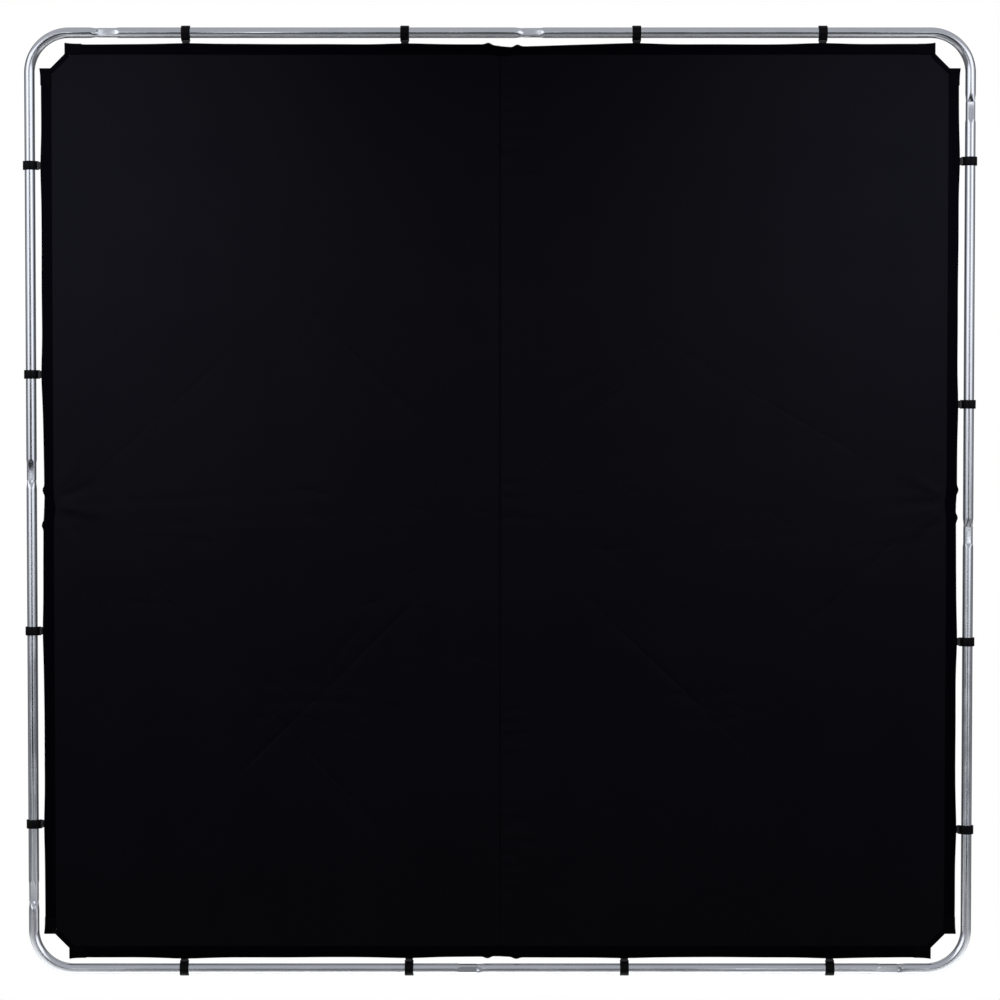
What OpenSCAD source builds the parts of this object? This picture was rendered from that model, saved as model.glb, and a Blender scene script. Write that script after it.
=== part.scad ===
// Square light-control panel: a black block-out cover held inside a frame of eight push-fit tubes.
// All lengths are millimetres. The panel stands upright with its front face towards -Y.
// The origin is on the bottom tube's axis, halfway along that side.
//
// Each side is drawn in its own axes: X runs clockwise round the frame as seen from the front,
// measured from the middle of the side, and Z points outward from the tube's axis.

/* [Frame] */
// Outside width and height of the square frame
frame_size = 2000; // [1900:10:2200]
// Outside diameter of the tube
tube_d = 22; // [21:0.5:23]
// Wall thickness of the tube
tube_wall = 1.5; // [1.2:0.1:1.6]
// Centreline radius of the bent corners
bend_r = 84; // [70:1:90]

/* [Push-fit joints] */
// Distance from the frame's outer corner to the joint beside it
near_joint = 156; // [150:1:180]
// Distance of the other joint past the middle of the side
mid_joint = 49; // [40:1:80]
// Length of the squared part of a socket
socket_len = 36; // [34:1:44]
// Width across the flats of a socket
socket_w = 18.5; // [18:0.1:19]
// Length of the slope from the flats back to the round tube
ramp_len = 9; // [6:1:14]
// Length of the spigot inside a socket
spigot_len = 34; // [28:1:34]
// Length of the hollows that lead down to the spigot
scoop_len = 19; // [16:1:22]
// Play between a spigot's flats and its socket's
fit_gap = 0.15; // [0.1:0.05:0.3]

/* [Clips] */
// Width of a clip along the tube
clip_w = 18.5; // [16:0.5:22]
// Thickness of the hook's wall
clip_wall = 3.4; // [2.5:0.1:3.5]
// Space between the tube and the hook
hook_gap = 0.4; // [0.3:0.05:0.4]
// How far the hook's lip goes past the tube's outermost line, in degrees
lip_angle = 10; // [6:1:10]
// Distance from the tube's axis in to the bar that the strap goes round
bar_reach = 16.5; // [16:0.5:17.5]
// Diameter of that bar
bar_d = 2.5; // [2:0.1:2.8]
// Thickness of the two cheeks that carry the bar
cheek_t = 1.1; // [1:0.1:1.4]

/* [Straps] */
// Width of the elastic webbing
strap_w = 16; // [12:0.5:16]
// Thickness of the webbing
strap_t = 1.2; // [0.8:0.1:1.2]
// Length of the webbing inward from the bar
strap_len = 72; // [60:1:90]

/* [Cover] */
// Gap between the tube and the hem
hem_gap = 12.5; // [11:0.5:16]
// Width of the hem
hem_w = 21; // [18:0.5:26]
// Thickness of the hem with its batten in it
hem_t = 4; // [3.6:0.1:4]
// Distance from the frame's outer edge to the end of a hem
hem_end = 86; // [80:1:100]
// Length of the soft break between the two halves of a hem
hem_break = 60; // [40:1:70]
// Width of the batten in a hem
batten_w = 12; // [10:0.5:14]
// Thickness of the batten
batten_t = 1.6; // [1:0.1:1.8]
// Thickness of the cloth
cloth_t = 1; // [0.6:0.1:1.4]
// Width of the tape over the centre seam
seam_tape_w = 12; // [8:1:20]
// Width of the bound edge across a corner
binding_w = 8; // [6:0.5:10]
// Length of the patch round each end of a hem
patch_len = 35; // [25:1:45]

/* [Shock cord] */
// Diameter of the elastic cord in the tubes
cord_d = 5; // [4:0.5:6]

/* [Hidden] */
$fn = 64;
SIDES = ["top", "right", "bottom", "left"];
CORNERS = ["top_right", "bottom_right", "bottom_left", "top_left"];
// Where the clips sit along each side: the first two on the side tube, the others on the corner tube
CLIP_PLACES = [
    [-660, -200, 287, 678],
    [-720, -209, 293, 692],
    [-700, -264, 193, 670],
    [-680, -270, 272, 711]
];

tube_r = tube_d / 2;
bore_r = tube_r - tube_wall;
half = frame_size / 2 - tube_r;
near_mouth = near_joint - frame_size / 2;
bend_start = half - bend_r;
socket_flat = socket_w / 2;
socket_bore_flat = socket_flat - tube_wall;
spigot_flat = socket_bore_flat - fit_gap;
spigot_r = bore_r - fit_gap;
spigot_bore_flat = spigot_flat - tube_wall;
spigot_bore_r = spigot_r - tube_wall;
scoop_drop = tube_r - spigot_flat;
scoop_r = (scoop_len * scoop_len + scoop_drop * scoop_drop) / (2 * scoop_drop);
// A cut runs past the face that it opens by this much
past = 1;

hook_r = tube_r + hook_gap;
hook_outer_r = hook_r + clip_wall;
hook_end_angle = -150;
bar_eye_r = 2.3;
strap_eye_r = bar_d / 2 + 0.15;
strap_back = hem_t / 2 + 0.4;

hem_out = -tube_r - hem_gap;
hem_in = hem_out - hem_w;
hem_stop = frame_size / 2 - hem_end;
pocket_end = 8;
pocket_play = 0.2;
cloth_half = half + hem_in;
binding_step = binding_w * sqrt(2);
patch_t = 0.6;
gather_dip = 4;
seam_tape_t = 0.6;
cord_end_gap = 0.25;
plastic = [0.03, 0.03, 0.035];
bare_aluminium = [0.78, 0.79, 0.8];

function polar(r, angle) = [r * cos(angle), r * sin(angle)];

// Where a tube's plain round length ends, just short of the hollows before a joint
function neck(mouth) = mouth - scoop_len - 2;

// From the frame's centre axes to the axes of a side: 0 top, 1 right, 2 bottom, 3 left
module on_side(turn) {
    translate([0, 0, half]) rotate([0, 90 * turn, 0]) translate([0, 0, half]) children();
}

// From one side's axes to those of the next side clockwise
module on_next_side() {
    translate([0, 0, -half]) rotate([0, 90, 0]) translate([0, 0, half]) children();
}

// A round bar along X, which may taper
module bar(from, to, r1, r2 = undef) {
    translate([from, 0, 0]) rotate([0, 90, 0])
        cylinder(h = to - from, r1 = r1, r2 = is_undef(r2) ? r1 : r2);
}

// A prism along one axis whose half-width goes from flat1 to flat2
module wedge(from, to, depth, flat1, flat2) {
    linear_extrude(height = 2 * depth, center = true)
        polygon([[from, -flat1], [to, -flat2], [to, flat2], [from, flat1]]);
}

// A round bar pressed square: four flats at flat1 from the axis, which may slope to flat2
module squared(from, to, r, flat1, flat2) {
    intersection() {
        bar(from, to, r);
        wedge(from, to, r, flat1, flat2);
        rotate([90, 0, 0]) wedge(from, to, r, flat1, flat2);
    }
}

// The squared end of a tube and its slope back to the round
module socket(mouth, r, flat, start) {
    squared(start, mouth + socket_len, r, flat, flat);
    squared(mouth + socket_len, mouth + socket_len + ramp_len, r, flat, r);
}

// The hollowed end of a tube and the spigot beyond it
module spigot(mouth) {
    difference() {
        bar(neck(mouth), mouth, tube_r);
        for (turn = [0:90:270]) rotate([turn, 0, 0])
            translate([mouth, 0, spigot_flat + scoop_r]) rotate([90, 0, 0])
                cylinder(h = 3 * tube_r, r = scoop_r, center = true, $fn = 180);
    }
    squared(mouth, mouth + spigot_len, spigot_r, spigot_flat, spigot_flat);
}

// What a spigot's end has inside: the tube's bore narrows before the hollows
module spigot_bore(mouth) {
    bar(neck(mouth) - ramp_len, neck(mouth), bore_r, spigot_bore_r);
    squared(neck(mouth), mouth + spigot_len + past, spigot_bore_r, spigot_bore_flat, spigot_bore_flat);
}

// A quarter turn from along X to along -Z, at the clockwise end of a side
module bend(r) {
    translate([bend_start, 0, -bend_r]) rotate([90, 0, 0])
        rotate_extrude(angle = 90) translate([bend_r, 0]) circle(r);
}

module side_tube(turn) {
    color(bare_aluminium) on_side(turn) difference() {
        union() {
            socket(near_mouth, tube_r, socket_flat, near_mouth);
            bar(near_mouth + socket_len + ramp_len, neck(mid_joint), tube_r);
            spigot(mid_joint);
        }
        socket(near_mouth, bore_r, socket_bore_flat, near_mouth - past);
        bar(near_mouth + socket_len + ramp_len, neck(mid_joint) - ramp_len, bore_r);
        spigot_bore(mid_joint);
    }
}

module corner_tube(turn) {
    color(bare_aluminium) on_side(turn) difference() {
        union() {
            socket(mid_joint, tube_r, socket_flat, mid_joint);
            bar(mid_joint + socket_len + ramp_len, bend_start, tube_r);
            bend(tube_r);
            on_next_side() {
                bar(-bend_start, neck(near_mouth), tube_r);
                spigot(near_mouth);
            }
        }
        socket(mid_joint, bore_r, socket_bore_flat, mid_joint - past);
        bar(mid_joint + socket_len + ramp_len, bend_start, bore_r);
        bend(bore_r);
        on_next_side() {
            bar(-bend_start, neck(near_mouth) - ramp_len, bore_r);
            spigot_bore(near_mouth);
        }
    }
}

// The elastic cord's length inside a side tube
module tube_cord(turn) {
    color("dimgray") on_side(turn) bar(near_mouth + cord_end_gap, mid_joint - cord_end_gap, cord_d / 2);
}

// The elastic cord's length inside a corner tube
module corner_cord(turn) {
    color("dimgray") on_side(turn) {
        bar(mid_joint + cord_end_gap, bend_start, cord_d / 2);
        bend(cord_d / 2);
        on_next_side() bar(-bend_start, near_mouth - cord_end_gap, cord_d / 2);
    }
}

// Turns a profile drawn with X outward and Y to the back into a piece of this width along the side
module along_side(width) {
    rotate([0, -90, 0]) linear_extrude(height = width, center = true) children();
}

// The hook goes over the tube from the front, and its cheeks carry the bar behind the cover's edge
module clip(turn, place) {
    lip = polar(hook_r + clip_wall / 2, lip_angle);
    color(plastic) on_side(turn) translate([place, 0, 0]) {
        along_side(clip_w) {
            intersection() {
                difference() {
                    circle(hook_outer_r);
                    circle(hook_r);
                }
                polygon(concat([[0, 0]],
                    [for (a = [hook_end_angle:20:lip_angle]) polar(2 * hook_outer_r, a)]));
            }
            translate(lip) circle(clip_wall / 2 - 0.2);
        }
        for (end = [-1, 1]) translate([end * (clip_w - cheek_t) / 2, 0, 0]) along_side(cheek_t) {
            polygon([polar(hook_r + 0.4, hook_end_angle + 3), polar(hook_outer_r - 0.4, hook_end_angle + 12),
                     [-bar_reach - 1.4, -1.4], [-bar_reach + 1.2, 1.4]]);
            translate([-bar_reach, 0]) circle(bar_eye_r);
        }
        translate([0, 0, -bar_reach]) bar(-clip_w / 2, clip_w / 2, bar_d / 2);
    }
}

// Webbing that loops the clip's bar and runs in behind the hem
module strap(place) {
    bar_at = [-bar_reach, 0];
    translate([place, 0, 0]) along_side(strap_w) {
        difference() {
            translate(bar_at) circle(strap_eye_r + strap_t);
            translate(bar_at) circle(strap_eye_r);
        }
        polygon([[-bar_reach, strap_eye_r], [-bar_reach, strap_eye_r + strap_t],
                 [-bar_reach - 5, strap_back + strap_t], [-bar_reach - strap_len, strap_back + strap_t],
                 [-bar_reach - strap_len, strap_back], [-bar_reach - 5.5, strap_back]]);
    }
}

module tube_straps(turn) {
    color("black") on_side(turn) for (n = [0, 1]) strap(CLIP_PLACES[turn][n]);
}

module corner_straps(turn) {
    color("black") on_side(turn) for (n = [2, 3]) strap(CLIP_PLACES[turn][n]);
}

// Half of the cover, on the +X side of the centre seam
module cloth_half() {
    translate([0, 0, half]) rotate([90, 0, 0]) linear_extrude(height = cloth_t, center = true)
        polygon([[0, -cloth_half], [hem_stop - binding_step, -cloth_half],
                 [cloth_half, binding_step - hem_stop], [cloth_half, hem_stop - binding_step],
                 [hem_stop - binding_step, cloth_half], [0, cloth_half]]);
}

module cover_right() { color([0.05, 0.05, 0.06]) cloth_half(); }

module cover_left() { color([0.06, 0.06, 0.07]) mirror([1, 0, 0]) cloth_half(); }

module centre_seam_tape() {
    color("black") translate([-seam_tape_w / 2, cloth_t / 2, half - cloth_half])
        cube([seam_tape_w, seam_tape_t, 2 * cloth_half]);
}

// Both halves of a hem: flat sleeves sewn shut at their ends
module hem(turn) {
    length = hem_stop - hem_break / 2;
    pocket_w = batten_w + 2 * pocket_play;
    pocket_t = batten_t + 2 * pocket_play;
    color("black") on_side(turn) for (start = [-hem_stop, hem_break / 2]) difference() {
        translate([start, -hem_t / 2, hem_in]) cube([length, hem_t, hem_w]);
        translate([start + pocket_end, -pocket_t / 2, (hem_in + hem_out - pocket_w) / 2])
            cube([length - 2 * pocket_end, pocket_t, pocket_w]);
    }
}

module battens(turn) {
    length = hem_stop - hem_break / 2 - 2 * pocket_end - 2 * pocket_play;
    color("gray") on_side(turn) for (start = [-hem_stop, hem_break / 2])
        translate([start + pocket_end + pocket_play, -batten_t / 2, (hem_in + hem_out - batten_w) / 2])
            cube([length, batten_t, batten_w]);
}

// The bound edge across the corner at the clockwise end of a side
module binding(turn) {
    edge = half + hem_in;
    color("black") translate([0, 0, half]) rotate([0, 90 * turn, 0]) rotate([90, 0, 0])
        linear_extrude(height = hem_t / 2, center = true)
            polygon([[hem_stop, edge], [hem_stop - binding_step, edge],
                     [edge, hem_stop - binding_step], [edge, hem_stop]]);
}

module hem_end_patches() {
    color([0.09, 0.09, 0.1]) for (turn = [0:3]) on_side(turn)
        for (start = [-hem_stop, hem_stop - patch_len])
            translate([start, -hem_t / 2 - patch_t, hem_in]) cube([patch_len, patch_t, hem_w]);
}

module hem_gathers() {
    color([0.07, 0.07, 0.08]) for (turn = [0:3]) on_side(turn)
        translate([-hem_break / 2, -cloth_t / 2, hem_in])
            cube([hem_break, cloth_t, hem_w - gather_dip]);
}

for (turn = [0:3]) {
    side_tube(turn);
    corner_tube(turn);
    tube_cord(turn);
    corner_cord(turn);
    for (n = [1:4])
        clip(turn, CLIP_PLACES[turn][n - 1]);
    tube_straps(turn);
    corner_straps(turn);
    hem(turn);
    battens(turn);
    binding(turn);
}
cover_left();
cover_right();
centre_seam_tape();
hem_end_patches();
hem_gathers();
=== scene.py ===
import math

import bmesh
import bpy
import numpy as np
from mathutils import Matrix, Vector


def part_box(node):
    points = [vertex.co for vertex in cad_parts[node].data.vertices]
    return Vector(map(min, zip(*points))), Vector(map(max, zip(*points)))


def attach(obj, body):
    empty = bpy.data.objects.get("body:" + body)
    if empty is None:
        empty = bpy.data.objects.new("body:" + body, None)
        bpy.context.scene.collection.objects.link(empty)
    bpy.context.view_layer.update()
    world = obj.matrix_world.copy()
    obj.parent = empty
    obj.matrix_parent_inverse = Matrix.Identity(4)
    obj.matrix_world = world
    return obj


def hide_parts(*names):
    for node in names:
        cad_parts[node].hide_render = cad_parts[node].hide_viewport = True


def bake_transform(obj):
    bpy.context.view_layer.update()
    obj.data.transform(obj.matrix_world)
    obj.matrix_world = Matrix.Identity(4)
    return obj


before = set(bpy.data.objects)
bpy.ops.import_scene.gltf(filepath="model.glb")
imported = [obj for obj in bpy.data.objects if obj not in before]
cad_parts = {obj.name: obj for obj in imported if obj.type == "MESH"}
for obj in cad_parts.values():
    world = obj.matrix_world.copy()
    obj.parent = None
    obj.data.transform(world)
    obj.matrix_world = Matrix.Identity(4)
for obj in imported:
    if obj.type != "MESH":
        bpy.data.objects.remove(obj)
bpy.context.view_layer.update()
MM = 0.001


# Camera, floor and light. The panel is held up by a grip on its tube, so the floor is a little
# below it. The studio is white behind the panel and dim in front, with soft boxes on both sides.

middle = (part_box("top_tube")[0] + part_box("top_tube")[1]) / 2
HALF = middle.z / 2                     # from the frame's centre to a tube's axis
CENTRE = Vector((0, 0, HALF))


def linear(hex_colour):
    """An sRGB hex colour as a linear one with alpha."""
    parts = [int(hex_colour[i:i + 2], 16) / 255 for i in (1, 3, 5)]
    return [c / 12.92 if c < 0.04045 else ((c + 0.055) / 1.055) ** 2.4 for c in parts] + [1]


def add(tree, kind, inputs=None, **settings):
    """Adds a node. An input is a constant or another node's output."""
    made = tree.nodes.new(kind)
    for name, value in settings.items():
        setattr(made, name, value)
    for name, value in (inputs or {}).items():
        if isinstance(value, bpy.types.NodeSocket):
            tree.links.new(value, made.inputs[name])
        else:
            made.inputs[name].default_value = value
    return made


def new_material(name):
    """A material with an empty node tree and its output node."""
    made = bpy.data.materials.new(name)
    made.use_nodes = True
    made.node_tree.nodes.clear()
    return made, made.node_tree, add(made.node_tree, "ShaderNodeOutputMaterial")


def aim(thing, place, target):
    thing.location = place
    thing.rotation_euler = (Vector(target) - Vector(place)).to_track_quat("-Z", "Y").to_euler()
    bpy.context.collection.objects.link(thing)


CAMERA_FAR = 6.0
CAMERA_RISE = math.radians(2.06)
VIEW_WIDTH = 2.1125                     # what the view takes in across the panel
AIM_UP = 7 * MM                         # the view's middle is this far above the panel's
lens_data = bpy.data.cameras.new("camera")
lens_data.lens = lens_data.sensor_width * CAMERA_FAR / VIEW_WIDTH
camera = bpy.data.objects.new("camera", lens_data)
aim(camera, CENTRE + Vector((0, -math.cos(CAMERA_RISE), math.sin(CAMERA_RISE))) * CAMERA_FAR,
    CENTRE + Vector((0, 0, AIM_UP)))
bpy.context.scene.camera = camera
bpy.context.scene.view_settings.view_transform = "Standard"

FLOOR_DROP = 0.32                       # the floor is this far below the bottom tube
FLOOR_WIDE, FLOOR_DEEP = 6.8, 4.3
FLOOR_FORWARD = 1.05                    # most of it is in front of the panel
floor_mesh = bpy.data.meshes.new("floor")
bm = bmesh.new()
lay = Matrix.Translation((0, -FLOOR_FORWARD, -FLOOR_DROP))
lay = lay @ Matrix.Diagonal((FLOOR_WIDE / 2, FLOOR_DEEP / 2, 1, 1))
bmesh.ops.create_grid(bm, x_segments=1, y_segments=1, size=1, matrix=lay)
bm.to_mesh(floor_mesh)
bm.free()
floor = bpy.data.objects.new("floor", floor_mesh)
bpy.context.collection.objects.link(floor)

# Matt background paper, pale grey.
paper, tree, out = new_material("pale_studio_floor")
shader = add(tree, "ShaderNodeBsdfPrincipled", {"Base Color": linear("#BABAB8"), "Roughness": 0.9})
tree.links.new(shader.outputs[0], out.inputs[0])
floor_mesh.materials.append(paper)

# The room that the tubes reflect is pale grey above and behind. In front it is darker below eye
# level, with a bright floor, a large soft box on each side and a low strip of light under each.
# The camera's dark lens hood is in the middle, with a thin upright light on each side of it.
studio = bpy.data.worlds.new("studio")
studio.use_nodes = True
tree = studio.node_tree
tree.nodes.clear()
out = add(tree, "ShaderNodeOutputWorld")
ray = add(tree, "ShaderNodeLightPath")
where = add(tree, "ShaderNodeTexCoord")
way = add(tree, "ShaderNodeSeparateXYZ", {"Vector": where.outputs["Generated"]})
aside = add(tree, "ShaderNodeMath", {0: way.outputs["X"]}, operation="ABSOLUTE")


def ease(value, start, end, low=0.0, high=1.0):
    """A smooth step of a value in the room, from low at the start to high at the end."""
    return add(tree, "ShaderNodeMapRange", {"Value": value, "From Min": start, "From Max": end,
                                            "To Min": low, "To Max": high},
               interpolation_type="SMOOTHSTEP").outputs[0]


def combine(first, *others, how="MULTIPLY"):
    """Several values in the room multiplied together, or put together in another way."""
    for other in others:
        first = add(tree, "ShaderNodeMath", {0: first, 1: other}, operation=how).outputs[0]
    return first


sideways, ahead, rise = aside.outputs[0], way.outputs["Y"], way.outputs["Z"]
in_front = ease(ahead, 0.05, -0.10)
low_wall = combine(ease(rise, -0.02, 0.04, -0.32, 0.0), in_front)
floor_glow = combine(ease(rise, -0.50, -0.58), in_front, 0.65)
unlit_back = combine(ease(ahead, -0.02, 0.22), ease(rise, 0.70, 0.35))
soft_boxes = combine(ease(sideways, 0.28, 0.36), ease(sideways, 0.92, 0.84),
                     ease(rise, -0.09, -0.03), ease(rise, 0.50, 0.42), in_front, 1.0)
lens_hood = combine(ease(sideways, 0.27, 0.22), ease(rise, 0.09, 0.05),
                    ease(rise, -0.54, -0.46), in_front)
thin_lights = combine(ease(sideways, 0.138, 0.146), ease(sideways, 0.190, 0.182),
                      ease(rise, -0.14, -0.12), ease(rise, 0.14, 0.12), in_front, 1.5)
low_strips = combine(ease(sideways, 0.34, 0.38), ease(sideways, 0.47, 0.43),
                     ease(rise, -0.26, -0.20), ease(rise, -0.03, -0.09), in_front, 1.0)
walls = combine(combine(low_wall, 0.52, how="ADD"), floor_glow, how="ADD")
walls = combine(walls, ease(lens_hood, 0.0, 1.0, 1.0, 0.22), ease(unlit_back, 0.0, 1.0, 1.0, 0.3))
level = combine(walls, soft_boxes, thin_lights, low_strips, how="ADD")
room = add(tree, "ShaderNodeBackground", {"Color": linear("#FAFBFF"), "Strength": level})
sky = add(tree, "ShaderNodeBackground", {"Color": linear("#FFFFFF"), "Strength": 1.0})
mixed = add(tree, "ShaderNodeMixShader", {"Fac": ray.outputs["Is Camera Ray"]})
tree.links.new(room.outputs[0], mixed.inputs[1])
tree.links.new(sky.outputs[0], mixed.inputs[2])
tree.links.new(mixed.outputs[0], out.inputs[0])
bpy.context.scene.world = studio

# Two high boxes light the front of the cover and two stronger ones its back.
for name, place, target, watts in (
        ("left_high_box", (-1.1, -1.25, 2.25), (-0.99, 0, 1.35), 34),
        ("right_high_box", (1.1, -1.25, 2.25), (0.99, 0, 1.35), 34),
        ("left_back_box", (-0.9, 1.6, 2.9), (-0.6, 0, 1.3), 60),
        ("right_back_box", (0.9, 1.6, 2.9), (0.6, 0, 1.3), 60)):
    high_box = bpy.data.lights.new(name, "AREA")
    high_box.shape = "RECTANGLE"
    high_box.size, high_box.size_y, high_box.energy = 0.9, 0.5, watts
    high_box.spread = math.radians(86)
    lamp = bpy.data.objects.new(name, high_box)
    aim(lamp, place, target)
    lamp.visible_glossy = False         # the tubes reflect the room's own boxes
    lamp.visible_camera = False


# Frame tubes: eight lengths of drawn aluminium tube, 22 mm across. One end of each is pressed
# square into a socket, the other is dented on four faces and drawn down to a spigot that fits it.

TUBE_R = (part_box("top_tube")[1].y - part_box("top_tube")[0].y) / 2
NEAR_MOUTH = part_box("top_tube")[0].x    # along a side, clockwise from its middle
MID_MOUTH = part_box("top_right_corner_tube")[0].x
WALL = 1.5 * MM
LIP = 0.4 * MM                          # the small round on a cut end
BEND_R = 84 * MM
BEND_START = HALF - BEND_R
BEND_END = BEND_START + BEND_R * math.pi / 2
SOCKET_LEN, RAMP_LEN, SCOOP_LEN, SPIGOT_LEN = 36 * MM, 9 * MM, 19 * MM, 34 * MM
SOCKET_FLAT, SPIGOT_FLAT, SPIGOT_R = 9.25 * MM, 7.6 * MM, 9.35 * MM
DENT_HALF_ANGLE = math.radians(40)
SIDES = ["top", "right", "bottom", "left"]
CORNERS = ["top_right", "bottom_right", "bottom_left", "top_left"]
ROUND = 56                              # points round a tube


def side_axes(turn):
    """From a side's own axes (X clockwise along it, Z outward from the tube's axis) to the frame's."""
    up = Matrix.Translation((0, 0, HALF))
    return up @ Matrix.Rotation(math.pi / 2 * turn, 4, "Y") @ up


def along_tubes(turn, s):
    """The axes at length s along a side's tubes, which follow the bend at its clockwise end."""
    if s <= BEND_START:
        return side_axes(turn) @ Matrix.Translation((s, 0, 0))
    if s >= BEND_END:
        return side_axes(turn + 1) @ Matrix.Translation((s - BEND_END - BEND_START, 0, 0))
    hub = side_axes(turn) @ Matrix.Translation((BEND_START, 0, -BEND_R))
    return hub @ Matrix.Rotation((s - BEND_START) / BEND_R, 4, "Y") @ Matrix.Translation((0, 0, BEND_R))


def squared(r, flat):
    """A tube's section pressed to four flats: its radius at each angle."""
    def radius(angle):
        return min(r, flat / max(abs(math.cos(angle)), abs(math.sin(angle))))
    return radius


def dented(depth):
    """A round section with a dent of this depth in each of the four faces."""
    def radius(angle):
        off = (angle + math.pi / 4) % (math.pi / 2) - math.pi / 4
        return TUBE_R - depth * math.cos(min(1, abs(off) / DENT_HALF_ANGLE) * math.pi / 2) ** 1.3
    return radius


def sweep(name, turn, rings, closed=True):
    """Extrudes a loop of points through rings of (length along the tubes, radius at each angle).
    The attribute flow holds each point's place as if the tube were straight."""
    bm = bmesh.new()
    flow = bm.verts.layers.float_vector.new("flow")
    bmesh.ops.create_circle(bm, segments=ROUND, radius=1)
    loop = sorted(bm.verts, key=lambda v: math.atan2(v.co.y, v.co.x))
    angles = [math.atan2(v.co.y, v.co.x) for v in loop]
    edges = bm.edges[:]
    first = list(edges)
    for i, (s, radius) in enumerate(rings):
        if i:
            made = bmesh.ops.extrude_edge_only(bm, edges=edges)["geom"]
            edges = [e for e in made if isinstance(e, bmesh.types.BMEdge)
                     and all(v not in loop for v in e.verts)]
            fresh = {v for e in edges for v in e.verts}
            partner = {}
            for v in fresh:
                for e in v.link_edges:
                    if e.other_vert(v) in loop:
                        partner[e.other_vert(v)] = v
            loop = [partner[v] for v in loop]
        place = along_tubes(turn, s)
        for v, angle in zip(loop, angles):
            r = radius(angle)
            v.co = place @ Vector((0, -r * math.sin(angle), r * math.cos(angle)))
            v[flow] = (r * math.cos(angle), r * math.sin(angle), s)
    if closed:
        bmesh.ops.bridge_loops(bm, edges=first + edges)
    else:
        bmesh.ops.contextual_create(bm, geom=first)
        bmesh.ops.contextual_create(bm, geom=edges)
    bmesh.ops.recalc_face_normals(bm, faces=bm.faces)
    mesh = bpy.data.meshes.new(name)
    bm.to_mesh(mesh)
    bm.free()
    mesh.shade_smooth()
    mesh.set_sharp_from_angle(angle=math.radians(19))
    made = bpy.data.objects.new(name, mesh)
    bpy.context.collection.objects.link(made)
    return made


def steps(start, end, count):
    return [start + (end - start) * i / count for i in range(count + 1)]


def tube_rings(mouth, shoulder):
    """Rings for one tube's outside and back through its bore, from its socket to its spigot's tip."""
    outer = [(mouth, squared(TUBE_R - LIP, SOCKET_FLAT - LIP)),
             (mouth + LIP, squared(TUBE_R, SOCKET_FLAT)),
             (mouth + SOCKET_LEN, squared(TUBE_R, SOCKET_FLAT))]
    for t in steps(0, 1, 6)[1:]:
        outer.append((mouth + SOCKET_LEN + t * RAMP_LEN,
                      squared(TUBE_R, SOCKET_FLAT + t * (TUBE_R - SOCKET_FLAT))))
    plain_end = shoulder - SCOOP_LEN
    bend = [s for s in steps(BEND_START, BEND_END, 28)
            if mouth + SOCKET_LEN + RAMP_LEN < s < plain_end]
    outer += [(s, squared(TUBE_R, TUBE_R)) for s in bend + [plain_end]]
    drop = TUBE_R - SPIGOT_FLAT
    for t in steps(0, 1, 8)[1:]:
        outer.append((plain_end + t * (SCOOP_LEN - LIP), dented(drop * t ** 1.6)))
    outer.append((shoulder, squared(SPIGOT_R + 0.5 * MM, SPIGOT_FLAT + 0.3 * MM)))
    outer.append((shoulder + LIP, squared(SPIGOT_R, SPIGOT_FLAT)))
    tip = shoulder + SPIGOT_LEN
    outer += [(tip - LIP, squared(SPIGOT_R, SPIGOT_FLAT)),
              (tip, squared(SPIGOT_R - LIP, SPIGOT_FLAT - LIP))]
    bore = TUBE_R - WALL
    narrow = squared(SPIGOT_R - WALL, SPIGOT_FLAT - WALL)
    inner = [(tip, narrow), (plain_end - 2 * MM, narrow),
             (plain_end - 2 * MM - RAMP_LEN, squared(bore, bore))]
    inner += [(s, squared(bore, bore)) for s in reversed(bend)]
    inner += [(mouth + SOCKET_LEN + RAMP_LEN, squared(bore, bore)),
              (mouth + SOCKET_LEN, squared(bore, SOCKET_FLAT - WALL)),
              (mouth, squared(bore, SOCKET_FLAT - WALL))]
    return outer + inner


# Drawn aluminium tube, untreated: a soft mirror with fine lines and a few dull patches along its
# length, left by the die and by handling. The lines are drawn 1.5 mm apart so that they show.
aluminium, tree, out = new_material("drawn_aluminium_tube")
flow = add(tree, "ShaderNodeAttribute", attribute_name="flow")
die_lines = add(tree, "ShaderNodeMapping", {"Vector": flow.outputs["Vector"], "Scale": (700, 700, 3)})
lines = add(tree, "ShaderNodeTexNoise", {"Vector": die_lines.outputs[0], "Scale": 1.0, "Detail": 3.0})
handling = add(tree, "ShaderNodeMapping", {"Vector": flow.outputs["Vector"], "Scale": (60, 60, 14)})
patches = add(tree, "ShaderNodeTexNoise", {"Vector": handling.outputs[0], "Scale": 1.0, "Detail": 4.0})
dull = add(tree, "ShaderNodeMapRange", {"Value": patches.outputs[0], "From Min": 0.35,
                                        "From Max": 0.75, "To Min": 0.05, "To Max": 0.15})
gloss = add(tree, "ShaderNodeMath", {0: dull.outputs[0], 1: lines.outputs[0]}, operation="MULTIPLY")
rough = add(tree, "ShaderNodeMath", {0: gloss.outputs[0], 1: dull.outputs[0]}, operation="ADD")
tint = add(tree, "ShaderNodeValToRGB", {"Fac": patches.outputs[0]})
tint.color_ramp.elements[0].color = linear("#CED2DA")
tint.color_ramp.elements[1].color = linear("#DFE2E8")
bump = add(tree, "ShaderNodeBump", {"Height": lines.outputs[0], "Strength": 0.25, "Distance": 0.00008})
shader = add(tree, "ShaderNodeBsdfPrincipled", {
    "Base Color": tint.outputs[0], "Metallic": 1.0, "Roughness": rough.outputs[0],
    "Normal": bump.outputs[0]})
tree.links.new(shader.outputs[0], out.inputs[0])

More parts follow.
